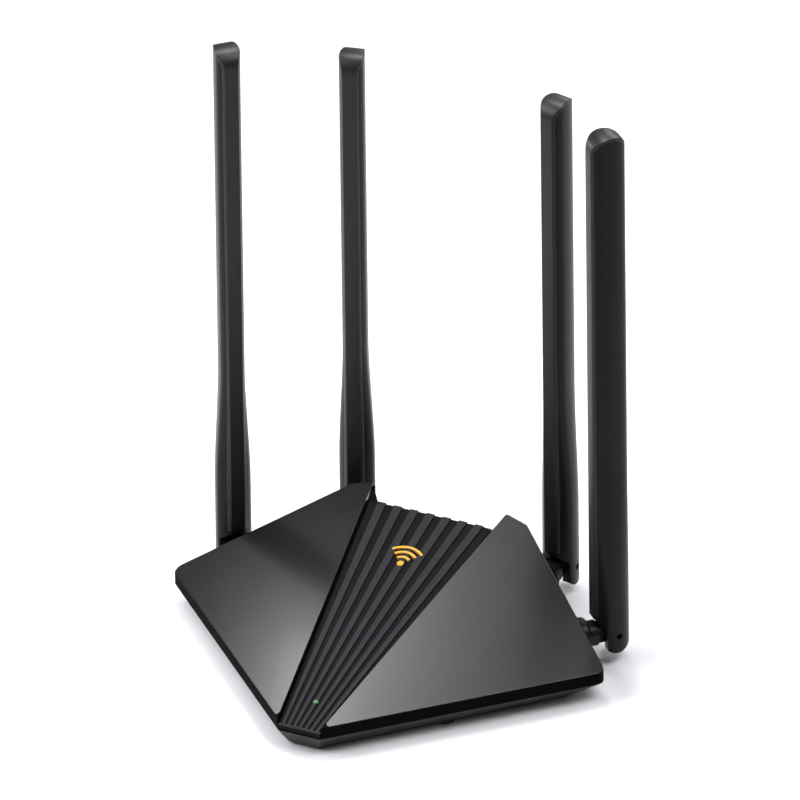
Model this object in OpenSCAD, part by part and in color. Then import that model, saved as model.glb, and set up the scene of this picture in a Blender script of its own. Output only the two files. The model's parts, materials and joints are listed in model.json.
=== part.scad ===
// Four-antenna dual-band home router: wedge-shaped housing, folding antennas, board and jacks.
// Millimetres. X runs left to right, Y from the front tip to the rear ports, Z is up, z = 0 is the table.

/* [Housing] */
// Width across the two side corners
body_w = 209.2; // [206:0.5:213]
// Distance from the front tip to the rear port wall
body_d = 154.6; // [153:0.5:157]
// Distance of the side corners behind the front tip
corner_y = 92.9; // [91.5:0.5:95]
// Width of the flat front tip
tip_w = 20; // [18:0.5:22]
// Width of the flat rear port wall
rear_w = 77; // [76:0.5:79]
// Height of the band top edge above the table
band_top = 14.5; // [14.2:0.1:14.9]
// Height of the parting line between the two housing halves
part_z = 8.8; // [8.6:0.1:9]
// Wall thickness of the housing
wall = 2.2; // [2:0.1:2.4]
// Rise angle of the two glossy top panels
panel_rise = 19.9; // [19.5:0.1:20.2]
// Thickness of the glossy top panels
panel_t = 1.8; // [1.6:0.1:2]
// Radius of the side corners
corner_r = 4; // [3:0.5:5]

/* [Centre insert] */
// Half width of the ribbed insert at its rear edge
insert_w = 29.3; // [29:0.1:29.6]
// Length of the ribbed insert
insert_l = 137.5; // [136.5:0.5:138]
// Rise angle of the ribbed insert
insert_rise = 13.18; // [13:0.02:13.3]
// Number of raised ribs
rib_n = 7; // [5:2:9]
// Height of the ribs above the grooves
rib_h = 0.6; // [0.4:0.1:0.8]

/* [Antennas] */
// Length of the two outer antennas from hinge pin to tip
outer_len = 253; // [220:1:270]
// Length of the two inner antennas from hinge pin to tip
inner_len = 238; // [205:1:255]
// Outward facing direction of the outer antennas
outer_yaw = 46.4; // [45.5:0.1:47.5]
// Outward facing direction of the inner antennas
inner_yaw = 77.6; // [76.8:0.1:78.5]
// Half thickness of the upper blade
blade_b = 5.5; // [4.6:0.1:5.6]
// Half thickness of the flared blade foot
foot_b = 7.9; // [7.2:0.1:8]
// Radius of the hinge pins
pin_r = 1.5; // [1.4:0.05:1.6]
// Radius of the swivel shafts
shaft_r = 4.4; // [4.2:0.05:4.5]
// Radial running clearance of shafts and pins
fit = 0.05; // [0.04:0.01:0.08]

/* [Electronics] */
// Thickness of the circuit board
board_t = 1.6; // [1.4:0.1:1.8]
// Width of one network jack
jack_w = 16; // [15.6:0.1:16.2]
// Travel of the rear button
button_travel = 0.8; // [0.5:0.1:1]

/* [Hidden] */
$fn = 48;
bot_z = 1.2;
pin_z = 13.8;
floor_t = 2;
reach = 16.6;
boss_r = 9.2;
W2 = body_w / 2;
T2 = tip_w / 2;
R2 = rear_w / 2;
front_a = atan2(corner_y, W2 - T2);
d4 = [-sin(outer_yaw), cos(outer_yaw)];
o4 = [cos(outer_yaw), sin(outer_yaw)];
d3 = [-sin(inner_yaw), cos(inner_yaw)];
o3 = [cos(inner_yaw), sin(inner_yaw)];
pB = [W2, corner_y];
pC = pB + 50.6 * d4;
pE = [R2, body_d];
pD = pE - 16.4 * d3;
wall4 = pB + 33 * d4;
wall3 = pD + 8.9 * d3;
pin4 = wall4 + reach * o4;
pin3 = wall3 + reach * o3;
hornO = [42.3, body_d - 8.5];
hornI = [32.1, body_d - 7.7];
board_z = 5.2;
top_b = board_z + board_t;
insert_z = band_top - 2.7;
jack_x = [21.5, 4.3, -12.9];
dc_x = -27.5;
btn_x = 32.9;
btn_r = 1.8;
btn_z = 11.4;
led_y = 17.5;
yi = -10.2;
yo = 6.8;
tip_h = 7;
mid_y = (pin3[1] + yo * sin(inner_yaw) + 0.12) / 2;

function unit(v) = v / norm(v);
function corner(p, i, r, n) = let (a = p[(i + len(p) - 1) % len(p)], b = p[i],
    c = p[(i + 1) % len(p)], u = unit(a - b), v = unit(c - b), h = acos(u * v) / 2,
    q = b + unit(u + v) * r / sin(h), s = b + u * r / tan(h) - q, e = b + v * r / tan(h) - q,
    a0 = atan2(s[1], s[0]), w = atan2(e[1], e[0]) - a0,
    da = w > 180 ? w - 360 : (w < -180 ? w + 360 : w))
    [for (k = [0:n - 1]) q + r * [cos(a0 + da * k / (n - 1)), sin(a0 + da * k / (n - 1))]];
function soft(p, r, n = 5) =
    [for (i = [0:len(p) - 1]) each (r[i] == 0 ? [p[i]] : corner(p, i, r[i], n))];
function inset(p, d) = [for (i = [0:len(p) - 1]) let (a = p[(i + len(p) - 1) % len(p)], b = p[i],
    c = p[(i + 1) % len(p)], e = unit(b - a), f = unit(c - b), m = [-e[1], e[0]], q = [-f[1], f[0]])
    b + d * (m + q) / (1 + m * q)];
function both(h) = concat([[0, h[0][1]]], h, [for (i = [len(h) - 1:-1:0]) [-h[i][0], h[i][1]]]);
function at_z(p, z) = [for (q = p) [q[0], q[1], z]];

band_h = [[T2, 0], pB, pC, pD, pE];
band_out = soft(both(band_h), [0, 0, corner_r, 0, 0, 0, 0, 0, 0, corner_r, 0]);
foot_h = [[T2 - 3.1, 4.4], [W2 - 13.7, corner_y - 3.8], [pC[0] - 6, pC[1] - 6], [pD[0] - 3, pD[1] - 3],
    [pE[0] - 1, pE[1] - 1.8]];
foot_out = soft(both(foot_h), [0, 0, 6, 0, 0, 0, 0, 0, 0, 6, 0]);
top_h = [[T2, 0], pB, hornO, hornI];
top_out = soft(both(top_h), [0, 0, corner_r, 0, 0, 0, 0, corner_r, 0]);
panel_h = [[11.1, 4.3], [T2 + 2.2, 2.2], pB, hornO, hornI];
panel_out = soft(panel_h, [0.8, 1.2, corner_r, 1.5, 1.2]);

module loft(rings) {
    n = len(rings[0]);
    k = len(rings);
    polyhedron(points = [for (r = rings) each r], faces = concat(
        [for (i = [1:n - 2]) [0, i, i + 1]],
        [for (i = [1:n - 2]) [(k - 1) * n, (k - 1) * n + i + 1, (k - 1) * n + i]],
        [for (j = [0:k - 2]) for (i = [0:n - 1]) [j * n + i, (j + 1) * n + i, (j + 1) * n + (i + 1) % n]],
        [for (j = [0:k - 2]) for (i = [0:n - 1]) [j * n + i, (j + 1) * n + (i + 1) % n, j * n + (i + 1) % n]]
    ));
}

// slab parallel to the right glossy panel, between two offsets from its top face
module panel_slab(t0, t1) {
    translate([T2, 0, band_top]) rotate([0, 0, front_a]) rotate([panel_rise, 0, 0])
        translate([-200, -300, t0]) cube([500, 600, t1 - t0]);
}

// slab parallel to the ribbed insert, between two offsets from the rib tops
module insert_slab(t0, t1) {
    translate([0, 0, insert_z]) rotate([insert_rise, 0, 0])
        translate([-100, -60, t0]) cube([200, 300, t1 - t0]);
}

module wedge_plan(g, back) {
    polygon([[-T2 - g, -1], [T2 + g, -1], [insert_w + g, back], [-insert_w - g, back]]);
}

// everything above the sloping back of the centre, between the two horns
module rear_cut(t) {
    translate([0, insert_l + 0.3 - t, 0]) rotate([90, 0, 90])
        linear_extrude(height = 2 * (hornI[0] - 1 + t), center = true)
        polygon([[0, insert_z + insert_l * tan(insert_rise) - 2 - t], [-4, 90], [60, 90], [60, 10],
            [body_d - insert_l + 8, band_top + 1.5 - t], [body_d - insert_l, band_top + 9.5 - t]]);
}

// block behind the horns, kept just inside the band walls and tapering up to the horns
module tail(t) {
    hull() {
        translate([0, 0, t > 0 ? 1 : part_z + 0.5]) linear_extrude(height = t > 0 ? band_top - 1.5 - t : 5)
            polygon(inset(both([[50, 110], pD, pE]), t + 0.25));
        translate([0, 0, 15]) linear_extrude(height = 9 - t)
            polygon(inset(both([[R2 - 4, 110], [R2 - 4, body_d]]), t + 0.25));
        for (s = [-1, 1]) translate([s * 37.2, body_d - 11 - t, 30])
            cube([10 - 2 * t, 5.4, 26], center = true);
    }
}

// outer form of the upper half, drawn t inside its real surface
module upper(t) {
    difference() {
        union() {
            translate([0, 0, t > 0 ? 0 : part_z])
                linear_extrude(height = (t > 0 ? band_top : band_top - part_z) - t) polygon(inset(band_out, t));
            intersection() {
                union() {
                    translate([0, 0, t > 0 ? 0 : part_z])
                        linear_extrude(height = 60) polygon(inset(top_out, t * 1.05));
                    tail(t);
                }
                panel_slab(-200, -panel_t - t);
                mirror([1, 0, 0]) panel_slab(-200, -panel_t - t);
            }
        }
        intersection() {
            translate([0, 0, -1]) linear_extrude(height = 80) wedge_plan(0.3 + t, insert_l + 0.3 + t);
            insert_slab(-2 - t, 60);
        }
        rear_cut(t);
    }
}

// moves the whole router so that its outer box is centred over the origin
module place() { translate([0, -mid_y, 0]) children(); }

// places its children at hinge pin number i, with Y pointing away from the housing
module at_pin(i) {
    s = i > 2 ? 1 : -1;
    outer = i == 1 || i == 4;
    p = outer ? pin4 : pin3;
    a = outer ? outer_yaw : inner_yaw;
    translate([s * p[0], p[1], pin_z]) rotate([0, 0, s * (a - 90)]) children();
}

module along_y() { rotate([-90, 0, 0]) children(); }
module along_x() { rotate([0, 90, 0]) children(); }

module port_holes() {
    for (x = jack_x) translate([x - jack_w / 2 - 0.3, body_d - 6, top_b - 0.1])
        cube([jack_w + 0.6, 12, 14.1]);
    translate([dc_x - 4.9, body_d - 6, top_b - 0.1]) cube([9.8, 12, 11.6]);
    translate([btn_x, body_d - 6, btn_z]) along_y() cylinder(r = btn_r + 0.3, h = 12);
}

screws = [[24, 38], [84, 90], [47, 128]];

module top_housing() {
    color([0.03, 0.03, 0.032]) difference() {
        union() {
            difference() {
                upper(0);
                upper(wall);
            }
            for (i = [1:4]) at_pin(i) translate([0, -reach - 8, 0]) along_y() cylinder(r = boss_r, h = 8);
            for (s = [-1, 1]) for (p = screws) translate([s * p[0], p[1], part_z + 0.4])
                cylinder(r = 3, h = p[0] > 60 ? 6.4 : (p[0] > 30 ? 26 : 8.4));
        }
        for (i = [1:4]) at_pin(i) {
            translate([0, -reach - 20, 0]) along_y() cylinder(r = 7.2, h = 17.6);
            translate([0, -reach - 20, 0]) along_y() cylinder(r = shaft_r + fit, h = 30);
        }
        for (s = [-1, 1]) for (p = screws) translate([s * p[0], p[1], part_z - 1])
            cylinder(r = 1.1, h = 7);
        for (s = [0, 1]) mirror([s, 0, 0]) intersection() {
            linear_extrude(height = 80) polygon(panel_out);
            panel_slab(-panel_t, 60);
        }
        port_holes();
        translate([0, led_y, -1]) cylinder(r = 1.6, h = 30);
        for (k = [-2:2]) translate([k * 7, insert_l + 1, 0]) rotate([45, 0, 0])
            translate([-1, 0, 0]) cube([2, 34, 60]);
    }
}

module bottom_housing() {
    color([0.05, 0.05, 0.052]) difference() {
        union() {
            difference() {
                loft([at_z(foot_out, bot_z), at_z(band_out, part_z)]);
                loft([at_z(inset(foot_out, wall), bot_z + floor_t), at_z(inset(band_out, wall), part_z + 1)]);
            }
            for (s = [-1, 1]) for (p = screws) translate([s * p[0], p[1], bot_z]) cylinder(r = 3.6, h = 7.6);
            for (s = [-1, 1]) for (p = [[7, 24], [58, 84], [26, 100], [30, 130]])
                translate([s * p[0], p[1], bot_z + 1]) cylinder(r = 2.4, h = board_z - bot_z - 1);
        }
        for (i = [1:4]) at_pin(i) translate([0, -reach - 9, 0]) along_y() cylinder(r = boss_r + 0.3, h = 30);
        for (s = [-1, 1]) for (p = screws) translate([s * p[0], p[1], bot_z - 1]) {
            cylinder(r = 1.7, h = 20);
            cylinder(r = 3, h = 3.2);
        }
        for (s = [-1, 1]) for (p = [[46.5, 50.5], [38, 143]]) translate([s * p[0], p[1], bot_z - 1])
            cylinder(r = 5, h = 1.6);
        for (s = [-1, 1]) for (k = [0:6]) translate([s * (16 + k * 5.5) - 1, 62 + k * 2.5, -1]) cube([2, 16, 8]);
        for (s = [-1, 1]) translate([s * 36, 104, bot_z - 1]) {
            cylinder(r = 4, h = 6);
            translate([-2, 0, 0]) cube([4, 9, 6]);
            translate([0, 9, 0]) cylinder(r = 2, h = 6);
        }
        translate([-28, 112, bot_z - 1]) cube([56, 26, 1.25]);
        port_holes();
    }
}

module right_panel() {
    color([0.02, 0.02, 0.022]) intersection() {
        linear_extrude(height = 80) polygon(panel_out);
        panel_slab(-panel_t, 0);
    }
}

module left_panel() { mirror([1, 0, 0]) right_panel(); }

module centre_insert() {
    color([0.06, 0.06, 0.065]) difference() {
        union() {
            intersection() {
                linear_extrude(height = 80)
                    polygon([[-T2, 0], [T2, 0], [insert_w, insert_l], [-insert_w, insert_l]]);
                insert_slab(-2, -rib_h);
            }
            for (k = [0:rib_n - 1]) {
                u = (4 * k + 3) / (2 * rib_n + 1) - 1;
                v = (4 * k + 1) / (2 * rib_n + 1) - 1;
                intersection() {
                    linear_extrude(height = 80) polygon([[v * T2, 0], [u * T2, 0],
                        [u * insert_w, insert_l], [v * insert_w, insert_l]]
                        + [for (q = [0:3]) [(q == 0 || q == 1 ? T2 : insert_w) / (2 * rib_n + 1), 0]]);
                    insert_slab(-rib_h - 0.2, 0);
                }
            }
            intersection() {
                linear_extrude(height = 80) polygon([[-T2, 0], [T2, 0], [T2, 1.2], [-T2, 1.2]]);
                insert_slab(-1, 0);
            }
        }
        translate([0, led_y, 0]) cylinder(r = 1.4, h = 30);
    }
}

// plain wireless mark: three arcs over a dot, laid on the ribs
module emblem() {
    color([0.85, 0.5, 0.08]) intersection() {
        linear_extrude(height = 80) translate([0, 105.5]) {
            circle(r = 1.5);
            for (r = [4, 7, 10]) intersection() {
                difference() {
                    circle(r = r + 0.6);
                    circle(r = r - 0.6);
                }
                polygon([[0, 0], [13, 13], [-13, 13]]);
            }
        }
        insert_slab(-rib_h - 0.05, 0.15);
    }
}

module light_pipe() {
    color([0.75, 0.95, 0.8]) intersection() {
        translate([0, led_y, top_b + 1]) cylinder(r = 1.3, h = 20);
        insert_slab(-60, 0);
    }
}

board_h = [[9, 13], [9, 44], [36, 50], [66, 78], [66, 98], [50, 112], [36, 122], [36, body_d - 4.2]];

module circuit_board() {
    color([0.03, 0.22, 0.12]) difference() {
        translate([0, 0, board_z]) linear_extrude(height = board_t) polygon(both(board_h));
        for (s = [-1, 1]) for (p = [[7, 24], [58, 84]])
            translate([s * p[0], p[1], 0]) cylinder(r = 1.2, h = 20);
    }
}

module on_board(x, y, w, d, h, z0 = 0) {
    translate([x - w / 2, y - d / 2, top_b + z0]) cube([w, d, h]);
}

module status_led() { color([0.2, 0.9, 0.35]) on_board(0, led_y, 1.6, 1, 0.7); }
module processor() { color([0.06, 0.06, 0.06]) on_board(-10, 82, 14, 14, 1.2); }
module thermal_pad() { color([0.55, 0.6, 0.68]) on_board(-10, 82, 12, 12, 0.6, 1.2); }

module heatsink() {
    color([0.7, 0.71, 0.73]) {
        on_board(-10, 82, 28, 28, 2, 1.8);
        for (k = [0:6]) on_board(-22.5 + k * 4.17, 82, 1.4, 28, 7, 3.7);
    }
}

module memory_chip() { color([0.07, 0.07, 0.07]) on_board(16, 84, 9, 13, 1.1); }
module flash_chip() { color([0.07, 0.07, 0.07]) on_board(18, 66, 6, 5, 1.6); }
module crystal() { color([0.75, 0.75, 0.77]) on_board(0, 62, 5, 3.2, 1.1); }
module switch_chip() { color([0.06, 0.06, 0.06]) on_board(6, 104, 12, 12, 1); }
module radio_chips() { color([0.06, 0.06, 0.06]) for (s = [-1, 1]) on_board(s * 44, 90, 8, 8, 0.9); }

module radio_shields() {
    color([0.76, 0.77, 0.78]) for (s = [-1, 1]) difference() {
        on_board(s * 44, 90, 24, 20, 3.2);
        on_board(s * 44, 90, 23.4, 19.4, 2.9, -0.001);
    }
}

module line_transformers() {
    color([0.08, 0.08, 0.09]) for (x = jack_x) on_board(x, 123, 12.5, 9, 5.4);
}

module capacitors() {
    color([0.12, 0.13, 0.2]) for (y = [112, 124]) translate([dc_x, y, top_b]) {
        cylinder(r = 4, h = 9);
        translate([0, 0, 9]) cylinder(r = 3.4, h = 0.3);
    }
}

module inductor() { color([0.2, 0.2, 0.21]) on_board(-27, 101, 7, 7, 4.2); }

module jack(x) {
    color([0.72, 0.73, 0.75]) translate([x, body_d - 0.4, top_b]) difference() {
        translate([-jack_w / 2, -20, 0]) cube([jack_w, 20, 13.5]);
        translate([-5.95, -15, 1.9]) cube([11.9, 16, 7]);
        translate([-3.1, -15, 8.8]) cube([6.2, 16, 1.7]);
        translate([-1.7, -15, 10.4]) cube([3.4, 16, 1.3]);
    }
}

module wan_jack() { jack(jack_x[0]); }
module lan_jack_1() { jack(jack_x[1]); }
module lan_jack_2() { jack(jack_x[2]); }

module jack_contacts() {
    color([0.85, 0.68, 0.25]) for (x = jack_x) for (k = [-3.5:1:3.5])
        translate([x + k * 1.02 - 0.2, body_d - 0.4 - 13.6, top_b + 2.15]) rotate([24, 0, 0])
            translate([0, 0, -0.2]) cube([0.4, 9.5, 0.4]);
}

module dc_jack() {
    color([0.05, 0.05, 0.05]) translate([dc_x, body_d - 0.4, top_b]) difference() {
        translate([-4.5, -14, 0]) cube([9, 14, 11]);
        translate([0, -9.5, 5.6]) along_y() cylinder(r = 2.85, h = 12);
        translate([0, -12.5, 5.6]) along_y() cylinder(r = 1, h = 5);
    }
}

module dc_pin() {
    color([0.8, 0.78, 0.7]) translate([dc_x, body_d - 12.9, top_b + 5.6]) along_y() cylinder(r = 1, h = 11);
}

module button_cap() {
    color([0.09, 0.09, 0.095]) translate([btn_x, 0, btn_z]) {
        translate([0, body_d - wall - 1.8, 0]) along_y() cylinder(r = btn_r + 0.7, h = 1.4);
        translate([0, body_d - wall - 1.8, 0]) along_y() cylinder(r = btn_r, h = wall + 2.4);
    }
}

module tact_switch() {
    color([0.3, 0.3, 0.31]) {
        on_board(btn_x - 0.2, body_d - 11.2, 5, 5, 7);
        translate([btn_x, body_d - 9, btn_z]) along_y() cylinder(r = 1.2, h = 9 - wall - 1.8 - button_travel - 0.4);
    }
}

module rubber_feet() {
    color([0.12, 0.12, 0.12]) for (s = [-1, 1]) for (p = [[46.5, 50.5], [38, 143]])
        translate([s * p[0], p[1], 0]) cylinder(r = 4.9, h = bot_z + 0.6);
}

module housing_screws() {
    color([0.55, 0.55, 0.57]) for (s = [-1, 1]) for (p = screws) translate([s * p[0], p[1], bot_z + 0.5]) {
        difference() {
            cylinder(r = 2.7, h = 1.7);
            translate([-1.8, -0.4, -1]) cube([3.6, 0.8, 1.8]);
            translate([-0.4, -1.8, -1]) cube([0.8, 3.6, 1.8]);
        }
        translate([0, 0, 1.6]) cylinder(r = 1.1, h = 11);
    }
}

module blank_label() { color([0.6, 0.6, 0.6]) translate([-27.5, 112.5, bot_z]) cube([55, 25, 0.25]); }

// swivel disc, shaft and eye, with a hollow shaft for the coax lead
module knuckle(i) {
    color([0.04, 0.04, 0.042]) at_pin(i) difference() {
        union() {
            along_y() rotate_extrude() polygon([[0, -reach - 6.4], [shaft_r, -reach - 6.4],
                [shaft_r, -reach - 4.1], [3.6, -reach - 4.1], [3.6, -reach - 2.7], [shaft_r, -reach - 2.7],
                [shaft_r, -reach + 0.3], [7.9, -reach + 0.3], [7.9, -13.9], [7.2, -13], [5.8, -12.6],
                [5.8, -8.8], [0, -8.8]]);
            translate([-2.9, -9.5, -4]) cube([5.8, 9.5, 8]);
            translate([-2.9, 0, 0]) along_x() cylinder(r = 4, h = 5.8);
        }
        translate([-5, 0, 0]) along_x() cylinder(r = pin_r + fit, h = 10);
        translate([0, -reach - 8, 0]) along_y() cylinder(r = 1.3, h = reach + 1.8);
    }
}

module clip(i) {
    color([0.6, 0.6, 0.62]) at_pin(i) difference() {
        translate([0, -reach - 4, 0]) along_y() cylinder(r = 6.2, h = 1.2);
        translate([0, -reach - 5, 0]) along_y() cylinder(r = 3.65, h = 4);
        translate([-2.6, -reach - 5, -8]) cube([5.2, 4, 8]);
    }
}

module hinge_pin(i) {
    color([0.66, 0.66, 0.68]) at_pin(i) translate([-5.7, 0, 0]) along_x() cylinder(r = pin_r, h = 11.4);
}

function blade_l(i) = (i == 1 || i == 4) ? outer_len : inner_len;
function sec(b, a, d1) = let (D = yo - yi, h = concat(
    [for (k = [1:4]) [a + (b - a) * sin(22.5 * k), yi + d1 * k / 4]],
    [for (k = [1:7]) [b * cos(90 * k / 7), yi + d1 + (D - d1) * sin(90 * k / 7)]]))
    concat([[-a, yi], [a, yi]], h, [for (k = [len(h) - 2:-1:0]) [-h[k][0], h[k][1]]]);
function flare(z) = let (u = max(0, min(1, (92 - z) / 62))) u * u * (3 - 2 * u);
function blade_ring(z) = let (f = flare(z)) at_z(sec(blade_b + (foot_b - blade_b) * f, 3, 5.3 + 0.9 * f), z);

// side outline of the blade: arched tip, inner notch and rounded foot
function side_line(L, g) = concat([[yo + 1, 0], [yo + 1, L - tip_h - g], [yo, L - tip_h - g]],
    [for (k = [1:11]) [(yo + yi + g) / 2 + (yo - yi - g) / 2 * cos(15 * k), L - tip_h - g + tip_h * sin(15 * k)]],
    [[yi + g, L - tip_h - g], [yi + g, 8.5], [-5.8, 4.6]],
    [for (k = [0:8]) 8.2 * [sin(-45 + 11.25 * k), -cos(-45 + 11.25 * k)]]);

module side_form(L, g, w) {
    rotate([90, 0, 90]) linear_extrude(height = w, center = true) polygon(side_line(L, g));
}

module blade(i) {
    L = blade_l(i);
    color([0.045, 0.045, 0.048]) at_pin(i) difference() {
        intersection() {
            loft([for (z = [-9, 30, 42, 54, 66, 78, 92, L + 1]) blade_ring(z)]);
            side_form(L, 0, 30);
        }
        difference() {
            translate([-2.5, yi - 1, 10]) cube([5, 30, L]);
            side_form(L, 1.3, 30);
        }
        translate([-1.8, yi + 1, 14]) cube([3.6, 8.5, L - 26]);
        translate([-3.2, -14, -12]) cube([6.4, 18.3, 16.6]);
        translate([-0.9, -5, 3]) cube([1.8, 3.4, 12]);
        translate([-12, 0, 0]) along_x() cylinder(r = pin_r + 0.02, h = 24);
    }
}

module strip(i) {
    L = blade_l(i);
    color([0.07, 0.07, 0.075]) at_pin(i) intersection() {
        translate([-2.45, yi - 1, 10.05]) cube([4.9, 30, L]);
        difference() {
            side_form(L, 0, 30);
            side_form(L, 1.25, 31);
        }
        loft([for (z = [-9, 30, 42, 54, 66, 78, 92, L + 1]) blade_ring(z)]);
    }
}

module radiator(i) {
    L = blade_l(i);
    color([0.75, 0.55, 0.2]) at_pin(i) {
        translate([-0.4, -8, 15]) cube([0.8, 6.5, L - 30]);
        translate([0, -3.4, 5.6]) cylinder(r = 0.7, h = 12);
    }
}

// chain of straight round pieces through the given points
module cable(path, r) {
    for (k = [0:len(path) - 2]) {
        v = path[k + 1] - path[k];
        translate(path[k]) rotate([0, acos(v[2] / norm(v)), atan2(v[1], v[0])])
            cylinder(r = r, h = norm(v), $fn = 10);
        if (k > 0) translate(path[k]) sphere(r = r + 0.06, $fn = 10);
    }
}

module lead(i) {
    s = i > 2 ? 1 : -1;
    outer = i == 1 || i == 4;
    p = outer ? pin4 : pin3;
    o = outer ? o4 : o3;
    a = [p[0], p[1], pin_z] - [o[0], o[1], 0] * (reach + 14);
    b = [p[0], p[1], pin_z] - [o[0], o[1], 0] * 7.2;
    c = outer ? [60, 90, 0] : [33, 116, 0];
    color([0.08, 0.08, 0.09]) cable([for (q = [c + [0, 0, top_b], c + [0, 0, 11.5], a, b]) [s * q[0], q[1], q[2]]], 0.65);
}

place() bottom_housing();
place() top_housing();
place() left_panel();
place() right_panel();
place() centre_insert();
place() emblem();
place() light_pipe();
place() circuit_board();
place() status_led();
place() processor();
place() thermal_pad();
place() heatsink();
place() memory_chip();
place() flash_chip();
place() crystal();
place() switch_chip();
place() radio_chips();
place() radio_shields();
place() line_transformers();
place() capacitors();
place() inductor();
place() wan_jack();
place() lan_jack_1();
place() lan_jack_2();
place() jack_contacts();
place() dc_jack();
place() dc_pin();
place() button_cap();
place() tact_switch();
place() rubber_feet();
place() housing_screws();
place() blank_label();
place() knuckle(1);  // knuckle_1
place() knuckle(2);  // knuckle_2
place() knuckle(3);  // knuckle_3
place() knuckle(4);  // knuckle_4
place() clip(1);  // clip_1
place() clip(2);  // clip_2
place() clip(3);  // clip_3
place() clip(4);  // clip_4
place() hinge_pin(1);  // hinge_pin_1
place() hinge_pin(2);  // hinge_pin_2
place() hinge_pin(3);  // hinge_pin_3
place() hinge_pin(4);  // hinge_pin_4
place() blade(1);  // blade_1
place() blade(2);  // blade_2
place() blade(3);  // blade_3
place() blade(4);  // blade_4
place() strip(1);  // strip_1
place() strip(2);  // strip_2
place() strip(3);  // strip_3
place() strip(4);  // strip_4
place() radiator(1);  // radiator_1
place() radiator(2);  // radiator_2
place() radiator(3);  // radiator_3
place() radiator(4);  // radiator_4
place() for (i = [1:4]) lead(i);  // coax_leads
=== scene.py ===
import json
import math

import bmesh
import bpy
import numpy as np
from mathutils import Matrix, Vector

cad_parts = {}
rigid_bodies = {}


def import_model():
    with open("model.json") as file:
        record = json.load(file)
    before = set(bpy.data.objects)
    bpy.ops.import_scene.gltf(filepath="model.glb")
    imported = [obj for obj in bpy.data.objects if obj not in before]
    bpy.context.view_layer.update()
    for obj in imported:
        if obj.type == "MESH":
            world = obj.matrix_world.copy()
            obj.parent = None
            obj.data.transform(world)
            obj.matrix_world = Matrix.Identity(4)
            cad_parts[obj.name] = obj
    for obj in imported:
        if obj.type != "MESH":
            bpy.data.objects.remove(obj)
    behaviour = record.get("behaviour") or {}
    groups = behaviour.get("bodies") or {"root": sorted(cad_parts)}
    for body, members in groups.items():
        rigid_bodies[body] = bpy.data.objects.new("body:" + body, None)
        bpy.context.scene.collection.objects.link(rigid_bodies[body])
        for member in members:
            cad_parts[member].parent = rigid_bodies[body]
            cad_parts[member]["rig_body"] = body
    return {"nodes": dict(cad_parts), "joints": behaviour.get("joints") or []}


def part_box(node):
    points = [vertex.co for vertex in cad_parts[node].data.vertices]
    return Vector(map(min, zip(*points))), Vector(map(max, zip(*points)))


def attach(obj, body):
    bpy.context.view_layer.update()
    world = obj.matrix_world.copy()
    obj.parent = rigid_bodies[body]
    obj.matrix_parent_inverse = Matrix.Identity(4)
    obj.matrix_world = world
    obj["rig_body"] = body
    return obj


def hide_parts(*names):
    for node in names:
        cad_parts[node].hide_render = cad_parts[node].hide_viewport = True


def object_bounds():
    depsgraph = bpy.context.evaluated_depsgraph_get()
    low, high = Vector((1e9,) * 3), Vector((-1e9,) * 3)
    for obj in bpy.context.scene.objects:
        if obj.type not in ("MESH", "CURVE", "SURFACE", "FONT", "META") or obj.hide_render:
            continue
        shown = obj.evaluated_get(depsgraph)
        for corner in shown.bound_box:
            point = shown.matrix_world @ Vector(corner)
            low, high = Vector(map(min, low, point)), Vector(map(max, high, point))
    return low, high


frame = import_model()
cad_low, cad_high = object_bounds()

# ---- Camera ------------------------------------------------------------------------------------
# A very long lens, so that upright edges stay parallel. It stands to the front right of the router,
# about thirty degrees above the table, and leans by less than one degree.

view_turn, view_rise, view_lean = math.radians(25.2), math.radians(31.7), math.radians(0.7)
view_width = 0.3478
front_y = cad_low.y
aim = Vector((0.01053, front_y + 0.0849, 0.1347))
lens, sensor = 1500.0, 36.0
nearest, farthest = 0.1, 60
away = Vector((math.sin(view_turn) * math.cos(view_rise), -math.cos(view_turn) * math.cos(view_rise),
               math.sin(view_rise)))
camera = bpy.data.objects.new("camera", bpy.data.cameras.new("camera"))
bpy.context.scene.collection.objects.link(camera)
camera.data.lens, camera.data.sensor_width = lens, sensor
camera.data.clip_start, camera.data.clip_end = nearest, farthest
turned = (-away).to_track_quat("-Z", "Y").to_matrix() @ Matrix.Rotation(-view_lean, 3, "Z")
camera.matrix_world = Matrix.Translation(aim + away * view_width * lens / sensor) @ turned.to_4x4()
bpy.context.scene.camera = camera

# ---- Studio ------------------------------------------------------------------------------------
# A white table that runs up into the backdrop, an even white surround, and large soft boxes. Their
# places follow from the slopes of the two glossy panels, so that each panel shades from its tip.

surround_strength, lamp_tint = 0.12, (0.95, 0.97, 1.0)
table_half, table_white = 3, (0.9, 0.9, 0.9, 1)
scene = bpy.context.scene
scene.view_settings.view_transform = "Standard"
surround = bpy.data.worlds.new("surround")
surround.use_nodes = True
surround.node_tree.nodes["Background"].inputs["Color"].default_value = (1, 1, 1, 1)
surround.node_tree.nodes["Background"].inputs["Strength"].default_value = surround_strength
scene.world = surround


def softbox(name, centre, facing, width, height, watts, roll=0.0):
    """A rectangular lamp centred at one point, turned to face another and rolled by some degrees."""
    lamp = bpy.data.objects.new(name, bpy.data.lights.new(name, "AREA"))
    lamp.data.shape, lamp.data.size, lamp.data.size_y = "RECTANGLE", width, height
    lamp.data.energy = watts
    lamp.location = centre
    turned = (Vector(facing) - Vector(centre)).to_track_quat("-Z", "Y").to_matrix()
    lamp.rotation_euler = (turned @ Matrix.Rotation(math.radians(roll), 3, "Z")).to_euler()
    lamp.data.color = lamp_tint
    lamp.visible_camera = False
    bpy.context.scene.collection.objects.link(lamp)
    return lamp


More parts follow.
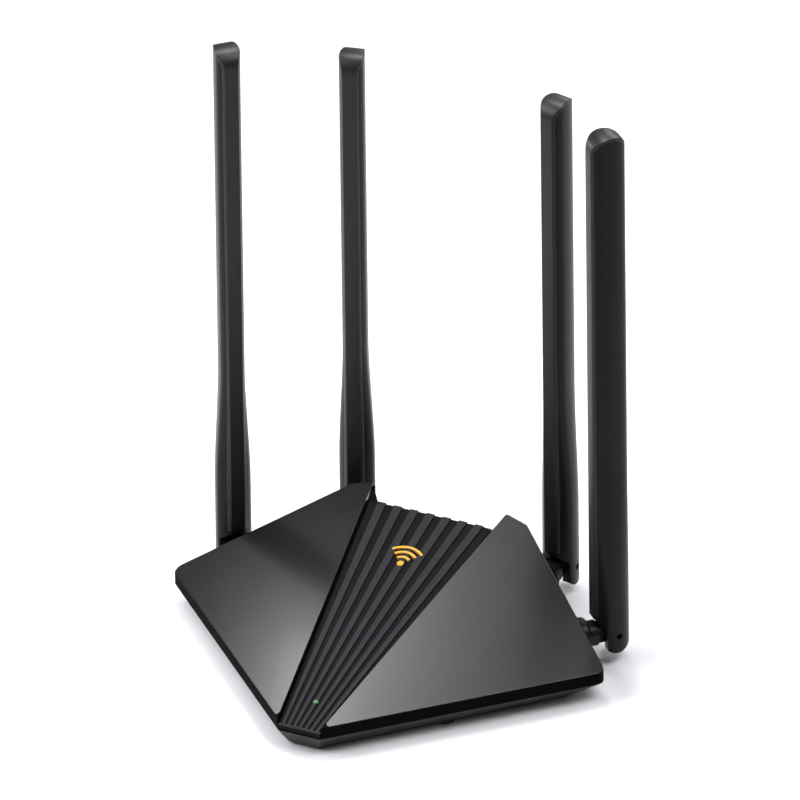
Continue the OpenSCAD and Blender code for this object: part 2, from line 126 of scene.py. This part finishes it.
# Where the two panels and the insert meet at the front; the first two lamps are placed from it.
tip = Vector((0, front_y, 0.0145))
softbox("over_right_panel", tip + Vector((-0.092, 0.288, 0.685)), tip + Vector((-0.095, -0.008, 0)),
        0.22, 0.20, 2.3, 25.2)
softbox("beyond_left_panel", tip + Vector((-0.235, 0.140, 0.255)), tip + Vector((-0.01, 0.02, 0)),
        0.16, 0.07, 0.38, 26)
softbox("key", (0.70, 0.05, 1.35), (0, 0, 0), 0.8, 0.8, 12)
softbox("fill", (-1.05, -0.60, 1.10), (0, 0, 0), 1.1, 1.1, 24)
softbox("behind", (0.1, 1.5, 0.9), (0, 0.1, 0), 1.2, 0.6, 12)

floor_mesh = bpy.data.meshes.new("table_top")
corners = [(x * table_half, y * table_half, 0) for x, y in ((-1, -1), (1, -1), (1, 1), (-1, 1))]
floor_mesh.from_pydata(corners, [], [(0, 1, 2, 3)])
floor = bpy.data.objects.new("table_top", floor_mesh)
scene.collection.objects.link(floor)
paint = bpy.data.materials.new("white_paint")
paint.use_nodes = True
paint.node_tree.nodes["Principled BSDF"].inputs["Base Color"].default_value = table_white
paint.node_tree.nodes["Principled BSDF"].inputs["Roughness"].default_value = 0.9
floor_mesh.materials.append(paint)

# ---- Lower and upper housing ---------------------------------------------------------------------
# Two injection-moulded shells of black ABS. The tool is spark-eroded, which leaves a fine even grain,
# and handling polishes it a little. The screws from below pull both halves together.


class Value:
    """A shader socket. Arithmetic on it adds Math nodes, and add() adds any other node."""

    def __init__(self, tree, socket):
        self.tree, self.socket = tree, socket

    def add(self, kind, settings=None, inputs=None, out=0):
        """Adds a node of that kind, sets it up, fills its inputs, and gives back one output."""
        node = self.tree.nodes.new("ShaderNode" + kind)
        for key, setting in (settings or {}).items():
            setattr(node, key, setting)
        for key, filling in (inputs or {}).items():
            if isinstance(filling, Value):
                self.tree.links.new(filling.socket, node.inputs[key])
            else:
                node.inputs[key].default_value = filling
        return Value(self.tree, node.outputs[out])

    def maths(self, operation, a, b=0.0):
        return self.add("Math", {"operation": operation}, {0: a, 1: b})

    def __add__(self, other):
        return self.maths("ADD", self, other)

    def __sub__(self, other):
        return self.maths("SUBTRACT", self, other)

    def __mul__(self, other):
        return self.maths("MULTIPLY", self, other)

    def __gt__(self, other):
        return self.maths("GREATER_THAN", self, other)

    def __rsub__(self, other):
        return self.maths("SUBTRACT", other, self)

    __radd__, __rmul__ = __add__, __mul__

    def noise(self, scale, detail=3.0):
        """Cloudy noise from 0 to 1, scale cells to the metre, read at this position."""
        return self.add("TexNoise", None, {"Vector": self, "Scale": scale, "Detail": detail})

    def blend(self, low, high):
        """The colour low where this mask is 0, and high where it is 1."""
        colours = {key: c if isinstance(c, Value) else (*c, 1) for key, c in ((6, low), (7, high))}
        return self.add("Mix", {"data_type": "RGBA"}, {0: self, **colours}, out=2)


def material(name, **fixed):
    """A named Principled material: gives it, its object-space position and a function that links sockets."""
    made = bpy.data.materials.new(name)
    made.use_nodes = True
    shader = made.node_tree.nodes["Principled BSDF"]
    for key, number in fixed.items():
        shader.inputs[key.replace("_", " ")].default_value = number
    node = made.node_tree.nodes.new("ShaderNodeTexCoord")
    place = Value(made.node_tree, node.outputs["Object"])

    def feed(**links):
        for key, value in links.items():
            made.node_tree.links.new(value.socket, shader.inputs[key.replace("_", " ")])

    return made, place, feed


def bump(height, depth, under=None):
    """A normal raised by a height from 0 to 1, depth metres tall."""
    inputs = {"Height": height, "Strength": 1.0, "Distance": depth}
    if under is not None:
        inputs["Normal"] = under
    return height.add("Bump", None, inputs)


def moulded(name, shade, rough, shine=0.25, grain=1800.0, depth=0.00003, edge=0.0004):
    """Moulded plastic: even grain, slow tone drift, roughness that varies by touch, and softened edges."""
    made, place, feed = material(name, Specular_IOR_Level=shine)
    drift = place.noise(22.0)
    fine = place.noise(grain, 2.0)
    tone = [c * 0.86 for c in shade], [c * 1.16 for c in shade]
    soft = place.add("Bevel", {"samples": 6}, {"Radius": edge})
    feed(Base_Color=drift.blend(*tone), Roughness=rough - 0.05 + 0.1 * place.noise(60.0),
         Normal=bump(fine, depth, soft))
    return made


def wear(node, made):
    """Gives a CAD node its material."""
    mesh = frame["nodes"][node].data
    mesh.materials.clear()
    mesh.materials.append(made)
    return frame["nodes"][node]


case_black = moulded("case_black", (0.0035, 0.0035, 0.0037), 0.58, 0.01)
wear("top_housing", case_black)
wear("bottom_housing", moulded("base_black", (0.008, 0.008, 0.0085), 0.45, 0.45, 1500.0, 0.00004))

# ---- Glossy panels -------------------------------------------------------------------------------
# Two polished black acrylic-faced plates that slope up from the front edges. Each is snapped into the
# upper shell, and its edge has a narrow machined chamfer that catches the light.

weld, crease = 2e-6, math.radians(25)


def softened(node, name, width, made, segments=3):
    """A copy of a CAD node, its triangles welded and its sharp edges rounded to width metres. Normals are
    weighted by area, so that the flat faces stay flat right up to their rounded edges."""
    copy = bpy.data.objects.new(name, frame["nodes"][node].data.copy())
    bpy.context.scene.collection.objects.link(copy)
    copy.data.materials.clear()
    b = bmesh.new()
    b.from_mesh(copy.data)
    bmesh.ops.remove_doubles(b, verts=b.verts, dist=weld)
    bmesh.ops.dissolve_limit(b, angle_limit=math.radians(0.5), verts=b.verts, edges=b.edges)
    b.to_mesh(copy.data)
    b.free()
    round_off = copy.modifiers.new("rounded_edges", "BEVEL")
    round_off.width, round_off.segments, round_off.limit_method = width, segments, "ANGLE"
    round_off.angle_limit = crease
    flat_kept = copy.modifiers.new("flat_faces_kept", "WEIGHTED_NORMAL")
    flat_kept.mode, flat_kept.weight, flat_kept.keep_sharp = "FACE_AREA", 100, True
    copy.data.shade_smooth()
    copy.data.materials.append(made)
    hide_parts(node)
    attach(copy, frame["nodes"][node]["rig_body"])
    return copy


def gloss_black():
    """Polished black: a clear coat over a very dark base, with faint orange peel and haze."""
    made, place, feed = material("panel_gloss", Coat_Roughness=0.08, Coat_IOR=1.45)
    haze = place.noise(35.0)
    feed(Base_Color=haze.blend((0.005, 0.005, 0.0055), (0.007, 0.007, 0.0075)),
         Roughness=0.25 + 0.03 * haze, Coat_Weight=0.06 + 0.04 * haze,
         Normal=bump(place.noise(160.0, 1.0), 0.0000025))
    return made


panel_finish = gloss_black()
for side in ("left", "right"):
    softened(f"{side}_panel", f"{side}_gloss_panel", 0.0004, panel_finish)

# ---- Ribbed insert, mark and light pipe -----------------------------------------------------------
# A matte strip with seven ribs that fan out towards the back, let in between the glossy panels. A
# printed amber mark of wireless arcs lies on the ribs, and a clear pipe brings the lamp to the surface.


def ribbed():
    """Matte plastic with painted shade: the base colour is darker down in the grooves than on top of the
    ribs.
    """
    made, place, feed = material("insert_matte", Specular_IOR_Level=0.08)
    along, height = (place.add("SeparateXYZ", None, {0: place}, out=k) for k in (1, 2))
    front_height, slope = 0.0118, math.tan(math.radians(13.18))
    above = height - (front_height + slope * (along - front_y))
    groove_shade_mask = above.add("MapRange", None, {"Value": above, "From Min": -0.00055, "From Max": -0.0001})
    # groove is a painted shade colour for the grooves, where shade falls; the rib tops keep the lighter
    # plastic colour.
    groove, rib = (0.003, 0.003, 0.0035), (0.026, 0.026, 0.028)
    feed(Base_Color=groove_shade_mask.blend(groove, rib), Roughness=0.5 + 0.08 * place.noise(50.0),
         Normal=bump(place.noise(1600.0, 2.0), 0.00003))
    return made


softened("centre_insert", "ribbed_insert", 0.00012, ribbed(), 2)


def amber_ink():
    """Printed amber ink, slightly uneven."""
    made, place, feed = material("amber_ink", Metallic=0.3)
    feed(Base_Color=place.noise(140.0).blend((0.60, 0.27, 0.02), (0.85, 0.45, 0.05)),
         Roughness=0.34 + 0.1 * place.noise(300.0), Normal=bump(place.noise(1500.0), 0.00001))
    return made


wear("emblem", amber_ink())


def clear_guide():
    """Green diffusing acrylic that glows in the middle from the lamp below, as emission and as a painted
    lighter base colour, and is darker towards its rim.
    """
    made, place, feed = material("lamp_guide", IOR=1.49, Emission_Strength=0.22)
    cloud = place.noise(900.0)
    middle = (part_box("light_pipe")[0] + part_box("light_pipe")[1]) / 2
    flat = place.add("VectorMath", {"operation": "MULTIPLY"}, {0: place, 1: (1, 1, 0)})
    away = flat.add("VectorMath", {"operation": "DISTANCE"}, {0: flat, 1: (middle.x, middle.y, 0)}, out=1)
    core = flat.add("MapRange", None, {"Value": away, "From Min": 0.0011, "From Max": 0.0007})
    # The lighter green base colour in the middle is a painted glow; the emission there stands for the lamp's
    # own light.
    feed(Base_Color=core.blend((0.005, 0.02, 0.008), (0.02, 0.16, 0.04)),
         Emission_Color=core.blend((0.0, 0.01, 0.0), (0.03, 0.42, 0.06)),
         Roughness=0.3 + 0.1 * cloud, Normal=bump(cloud, 0.00001))
    return made


lamp_finish = clear_guide()
wear("light_pipe", lamp_finish)
wear("status_led", lamp_finish)

# ---- Antennas -------------------------------------------------------------------------------------
# Each antenna is a hollow moulded blade with a rounded back, a flat inner edge and a flared foot that
# hides the hinge. A matte cover closes the inner edge and rolls over the arched tip, with a hairline seam
# along both flanks, and the two ends of the hinge pin sit deep in the flanks of the foot.

blade_back, blade_front, tip_height = 0.0068, -0.0102, 0.007
blade_half, foot_half, edge_half = 0.0055, 0.0079, 0.003
foot_round, slot_half, slot_roof = 0.0082, 0.0032, 0.0046
slot_near, slot_far, chin_rise = -0.0058, 0.0043, 0.0039
flare_top, flare_run, flank_run, flank_flare = 0.092, 0.062, 0.0053, 0.0009
cover_deep, cover_low, cover_play = 0.0013, 0.010, 0.00004
bar_half, hole_round, blade_edge = 0.012, 0.00155, 0.0005


def placed_at(pin, outward):
    """The matrix that carries hinge space, with Y away from the housing, to the frame."""
    x = Vector((outward[1], -outward[0], 0))
    turned = Matrix((x, Vector(outward), Vector((0, 0, 1)))).transposed()
    return Matrix.Translation(Vector(pin)) @ turned.to_4x4()


def mesh_from(name, grids):
    """One object from several grids of points: quads join neighbouring points, and the grids are welded."""
    points, faces, base = [], [], 0
    for grid in grids:
        rows, columns = grid.shape[:2]
        i = np.arange(rows - 1)[:, None] * columns + np.arange(columns - 1)[None, :] + base
        points.append(grid.reshape(-1, 3))
        faces.append(np.stack([i, i + 1, i + columns + 1, i + columns], -1).reshape(-1, 4))
        base += rows * columns
    mesh = bpy.data.meshes.new(name)
    mesh.from_pydata(np.vstack(points).tolist(), [], np.vstack(faces).tolist())
    b = bmesh.new()
    b.from_mesh(mesh)
    bmesh.ops.remove_doubles(b, verts=b.verts, dist=weld)
    bmesh.ops.dissolve_degenerate(b, edges=b.edges, dist=1e-7)
    bmesh.ops.recalc_face_normals(b, faces=b.faces)
    b.to_mesh(mesh)
    b.free()
    made = bpy.data.objects.new(name, mesh)
    bpy.context.scene.collection.objects.link(made)
    return made


def section(q, z):
    """Half a cross-section at height z: x rises along a straight flank (q below 0.3) by a quarter sine from
    the edge, then falls to the back as a quarter ellipse. The foot widens by a smooth step below 92 mm."""
    u = np.clip((flare_top - z) / flare_run, 0, 1)
    f = u * u * (3 - 2 * u)
    half, run = blade_half + (foot_half - blade_half) * f, flank_run + flank_flare * f
    on_flank = q < 0.3
    s = np.where(on_flank, q / 0.3, (q - 0.3) / 0.7) * np.pi / 2
    x = np.where(on_flank, edge_half + (half - edge_half) * np.sin(s), half * np.cos(s))
    y = np.where(on_flank, run * s * 2 / np.pi, run + (blade_back - blade_front - run) * np.sin(s))
    return x, y + blade_front


def blade_surface(length, steps=44, rings=60):
    """Each column of points has one depth y. It starts on the round foot, z = -sqrt(r^2 - y^2), and ends on
    the arched tip, a half ellipse over the whole depth; the section gives its x at every height."""
    q = np.linspace(0, 1, steps)
    middle, reach = (blade_back + blade_front) / 2, (blade_back - blade_front) / 2

    def low(y):
        chin = slot_roof + chin_rise * (slot_near - y) / (slot_near - blade_front)
        return np.where(y < slot_near, chin, -np.sqrt(np.clip(foot_round ** 2 - y ** 2, 0, None)))

    def high(y):
        return length - tip_height * (1 - np.sqrt(np.clip(1 - ((y - middle) / reach) ** 2, 0, 1)))

    x0, y0 = section(q, np.zeros(steps))
    x1, y1 = section(q, np.full(steps, length))
    z = low(y0) + (high(y1) - low(y0)) * np.linspace(0, 1, rings)[:, None]
    x, y = section(q, z)
    right, left = np.stack([x, y, z], -1), np.stack([-x, y, z], -1)
    c = np.minimum(slot_half, x[0])
    roof = np.where((y[0] >= slot_near) & (y[0] <= slot_far), slot_roof, z[0])
    foot = np.stack([np.stack([k, y[0], h], -1) for k, h in
                     ((x[0], z[0]), (c, z[0]), (c, roof), (-c, roof), (-c, z[0]), (-x[0], z[0]))], 1)
    return [right, left, np.stack([left[:, 0], right[:, 0]], 1), np.stack([right[-1], left[-1]], 1), foot]


def tip_band(length, under, low, steps=40):
    """A closed band, wider than the blade, that is carried up the inner edge and over the half ellipse of
    the tip. Its profile is a rectangle from under to 3 mm over along the path's normal."""
    middle, reach = (blade_back + blade_front) / 2, (blade_back - blade_front) / 2
    turn = np.linspace(0, 0.995, steps) * np.pi
    y = np.concatenate([[blade_front], middle - reach * np.cos(turn)])
    z = np.concatenate([[low], length - tip_height + tip_height * np.sin(turn)])
    ny = np.concatenate([[-1.0], -np.cos(turn) / reach])
    nz = np.concatenate([[0.0], np.sin(turn) / tip_height])
    ny, nz = ny / np.hypot(ny, nz), nz / np.hypot(ny, nz)
    over = 0.003
    x, n = bar_half * np.array([-1, 1, 1, -1, -1]), np.array([under, under, over, over, under])
    band = np.stack([np.broadcast_to(x, (len(y), 5)), y[:, None] + ny[:, None] * n,
                     z[:, None] + nz[:, None] * n], -1)
    return [band] + [np.stack([band[k, :2], band[k, 3:1:-1]]) for k in (0, -1)]


def pin_hole():
    """A round bar across the hinge, x from -12 to 12 mm, as rings of points around the pin's axis."""
    turn = np.linspace(0, 2 * np.pi, 33)
    ring = hole_round * np.stack([np.zeros(33), np.cos(turn), np.sin(turn)], -1)
    rows = [ring * k + np.array([x, 0, 0]) for x, k in
            ((-bar_half, 0), (-bar_half, 1), (bar_half, 1), (bar_half, 0))]
    return [np.stack(rows)]


def antenna_black():
    """Satin black with a fine moulded grain and very light handling polish."""
    made, place, feed = material("antenna_black", Specular_IOR_Level=0.12)
    feed(Base_Color=place.noise(18.0).blend((0.005, 0.005, 0.0055), (0.007, 0.007, 0.0075)),
         Roughness=0.27 + 0.06 * place.noise(40.0), Normal=bump(place.noise(1900.0, 2.0), 0.00002))
    return made


blade_finish = antenna_black()
strip_finish = moulded("strip_matte", (0.012, 0.012, 0.013), 0.4, 0.3, 1500.0, 0.00002)
folds = {j["child"]: j for j in frame["joints"]}
for i in (1, 2, 3, 4):
    body, fold = f"antenna_{i}", folds[f"antenna_{i}"]
    hinge = placed_at(fold["pos_m"], (fold["axis"][1], -fold["axis"][0], 0.0))
    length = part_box(f"blade_{i}")[1].z - fold["pos_m"][2]
    groove = mesh_from("groove", tip_band(length, -cover_deep, cover_low))
    filling = mesh_from("filling", tip_band(length, cover_play - cover_deep, cover_low + 0.00005))
    hole = mesh_from("hole", pin_hole())
    for name, node, made, slot, cuts in (
            (f"antenna_blade_{i}", f"blade_{i}", blade_finish, "blade_plastic",
             ((groove, "DIFFERENCE"), (hole, "DIFFERENCE"))),
            (f"cover_strip_{i}", f"strip_{i}", strip_finish, "strip_plastic", ((filling, "INTERSECT"),))):
        piece = mesh_from(name, blade_surface(length))
        round_off = piece.modifiers.new("rounded_edges", "BEVEL")
        round_off.width, round_off.segments, round_off.limit_method = blade_edge, 3, "ANGLE"
        round_off.angle_limit = math.radians(35)
        for cutter, way in cuts:
            cut = piece.modifiers.new("cut", "BOOLEAN")
            cut.object, cut.operation, cut.solver = cutter, way, "EXACT"
        shaped = bpy.data.meshes.new_from_object(piece.evaluated_get(bpy.context.evaluated_depsgraph_get()))
        piece.modifiers.clear()
        piece.data = shaped
        shaped.transform(hinge)
        shaped.shade_smooth()
        shaped.set_sharp_from_angle(angle=math.radians(32))
        shaped.materials.clear()
        shaped.materials.append(made)
        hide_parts(node)
        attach(piece, body)
    for cutter in (groove, filling, hole):
        bpy.data.objects.remove(cutter)

# ---- Swivels and hinge pins -------------------------------------------------------------------------
# A turned nylon knuckle carries each antenna. Its shaft passes through the wall and is held by a sprung
# steel clip, and a steel pin joins its eye to the foot of the blade.

knuckle_finish = moulded("knuckle_nylon", (0.005, 0.005, 0.0053), 0.36, 0.2, 2100.0, 0.00002, 0.0003)


def steel(name, shade, rough, scale):
    """Plain metal: a bright base with stretched brushing and cloudy wear in its roughness."""
    made, place, feed = material(name)
    long_grain = place.add("VectorMath", {"operation": "MULTIPLY"}, {0: place, 1: (1.0, 0.12, 0.4)})
    brushed = long_grain.noise(scale, 2.0)
    feed(Base_Color=brushed.blend([c * 0.85 for c in shade], shade), Metallic=0.9 + 0.1 * brushed,
         Roughness=rough - 0.06 + 0.12 * place.noise(120.0), Normal=bump(brushed, 0.000008))
    return made


black_steel = steel("blackened_steel", (0.012, 0.012, 0.013), 0.5, 2600.0)
spring_steel = steel("spring_steel", (0.52, 0.52, 0.54), 0.32, 2600.0)
for i in (1, 2, 3, 4):
    wear(f"knuckle_{i}", knuckle_finish)
    wear(f"clip_{i}", spring_steel)
    wear(f"hinge_pin_{i}", black_steel)

# ---- Radiators and leads ------------------------------------------------------------------------------
# Inside each blade a narrow laminate carries a printed copper radiator. A thin coaxial lead runs from the
# board into each hollow swivel, and ends just short of the fold hinge.


def printed_copper():
    """Bare copper tracks between bands of dark green solder mask, repeated along the laminate."""
    made, place, feed = material("printed_copper")
    up = place.add("SeparateXYZ", None, {0: place}, out=2)
    band = up.add("Math", {"operation": "PINGPONG"}, {0: up, 1: 0.011})
    track = band.add("MapRange", None, {"Value": band, "From Min": 0.0035, "From Max": 0.0037})
    feed(Base_Color=track.blend((0.012, 0.07, 0.035), (0.62, 0.31, 0.14)), Metallic=0.9 * track,
         Roughness=0.3 + 0.15 * place.noise(300.0), Normal=bump(track, 0.00003))
    return made


def rubbery(name, shade, grain, depth):
    """Soft black rubber: dull, finely pitted, paler where it has rubbed."""
    made, place, feed = material(name, Specular_IOR_Level=0.3)
    pits = place.noise(grain, 4.0)
    feed(Base_Color=place.noise(90.0).blend(shade, [c * 1.7 for c in shade]),
         Roughness=0.68 + 0.14 * pits, Normal=bump(pits, depth))
    return made


copper_finish = printed_copper()
for i in (1, 2, 3, 4):
    wear(f"radiator_{i}", copper_finish)
wear("coax_leads", rubbery("lead_jacket", (0.010, 0.010, 0.011), 2400.0, 0.00001))

# ---- Circuit board ------------------------------------------------------------------------------------
# Glass-fibre laminate under green solder mask, with the processor, its memory, the Ethernet switch and
# two radios soldered to it. A small green lamp stands at its front end, under the light pipe.


def solder_mask():
    """Green lacquer with fine raised tracks: two crossed wave patterns, thinned by a noise mask."""
    made, place, feed = material("solder_mask", Coat_Roughness=0.15)
    waves = [place.add("TexWave", {"wave_profile": "SIN", "bands_direction": way},
                       {"Vector": place, "Scale": 190.0, "Distortion": 0.6}, out=1) for way in ("X", "Y")]
    track = (waves[0].maths("MAXIMUM", waves[0], waves[1]) > 0.93) * (place.noise(70.0) > 0.46)
    feed(Base_Color=track.blend((0.006, 0.055, 0.028), (0.018, 0.12, 0.05)),
         Roughness=0.38 + 0.1 * place.noise(200.0), Coat_Weight=0.4 + 0.1 * track,
         Normal=bump(track, 0.00004))
    return made


def epoxy(name, shade, rough):
    """Moulded package resin: dark, matte and slightly sandy."""
    made, place, feed = material(name)
    sand = place.noise(2600.0, 4.0)
    feed(Base_Color=sand.blend(shade, [c * 1.5 for c in shade]), Roughness=rough + 0.1 * place.noise(150.0),
         Normal=bump(sand, 0.000012))
    return made


wear("circuit_board", solder_mask())
resin = epoxy("package_resin", (0.012, 0.012, 0.013), 0.55)
for node in ("processor", "memory_chip", "flash_chip", "switch_chip", "radio_chips", "line_transformers"):
    wear(node, resin)
wear("inductor", epoxy("ferrite", (0.045, 0.045, 0.048), 0.62))
wear("thermal_pad", rubbery("gap_filler", (0.17, 0.21, 0.27), 900.0, 0.00004))
wear("heatsink", steel("extruded_fins", (0.60, 0.61, 0.63), 0.36, 900.0))
tin = steel("tinned_sheet", (0.66, 0.66, 0.67), 0.24, 1400.0)
wear("crystal", tin)
wear("radio_shields", tin)


def can_sleeve():
    """Printed plastic sleeve around each capacitor, with a bare metal top above it."""
    made, place, feed = material("can_sleeve")
    up = place.add("SeparateXYZ", None, {0: place}, out=2)
    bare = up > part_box("capacitors")[1].z - 0.0004
    feed(Base_Color=bare.blend((0.012, 0.014, 0.035), (0.62, 0.62, 0.64)), Metallic=bare * 0.9,
         Roughness=0.32 + 0.1 * place.noise(260.0), Normal=bump(place.noise(1200.0), 0.00001))
    return made


wear("capacitors", can_sleeve())

# ---- Sockets and button on the rear wall ----------------------------------------------------------------
# One supply socket, three network jacks in tinned shells with gold-plated spring contacts, and a round
# reset button that presses a small switch on the board.


def jack_shell(node):
    """Tinned sheet outside, black nylon inside: the mask is a box that ends just behind the front face."""
    made, place, feed = material(f"{node}_shell")
    low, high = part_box(node)
    middle, mouth_half, mouth_low, mouth_high = (low.x + high.x) / 2, 0.0061, 0.0017, 0.0118
    x, y, z = (place.add("SeparateXYZ", None, {0: place}, out=k) for k in (0, 1, 2))
    aside = x.maths("ABSOLUTE", x - middle)
    mouth = (mouth_half - aside > 0.0) * (high.y - 0.0001 - y > 0.0) * (y > low.y + 0.004)
    mouth = mouth * (z > low.z + mouth_low) * (low.z + mouth_high - z > 0.0)
    brushed = place.add("VectorMath", {"operation": "MULTIPLY"}, {0: place, 1: (0.2, 1.0, 1.0)}).noise(1500.0)
    feed(Base_Color=mouth.blend((0.60, 0.60, 0.61), (0.008, 0.008, 0.009)), Metallic=0.95 - 0.95 * mouth,
         Roughness=0.24 + 0.12 * brushed + 0.2 * mouth, Normal=bump(brushed, 0.000008))
    return made


for node in ("wan_jack", "lan_jack_1", "lan_jack_2"):
    wear(node, jack_shell(node))
wear("jack_contacts", steel("gold_plate", (0.86, 0.62, 0.20), 0.2, 1800.0))
wear("dc_jack", epoxy("socket_nylon", (0.008, 0.008, 0.009), 0.42))
wear("dc_pin", tin)
wear("tact_switch", epoxy("switch_case", (0.05, 0.05, 0.055), 0.5))
button_finish = moulded("button_cap", (0.014, 0.014, 0.015), 0.4, 0.4, 1700.0, 0.00002)
softened("button_cap", "reset_button", 0.00025, button_finish)

# ---- Underside: feet, screws and label -------------------------------------------------------------------
# Four glued rubber feet, six self-tapping screws with cross slots, and a blank satin rating label.

softened("rubber_feet", "rubber_foot_pads", 0.0004,
         rubbery("foot_rubber", (0.012, 0.012, 0.012), 1300.0, 0.00004))
wear("housing_screws", steel("zinc_screws", (0.50, 0.50, 0.52), 0.3, 2000.0))


def label_film():
    """Blank satin polyester with a faint woven backing."""
    made, place, feed = material("label_film")
    weave = place.noise(700.0, 2.0)
    feed(Base_Color=weave.blend((0.32, 0.32, 0.33), (0.38, 0.38, 0.39)), Roughness=0.42 + 0.12 * weave,
         Normal=bump(weave, 0.000008))
    return made


wear("blank_label", label_film())
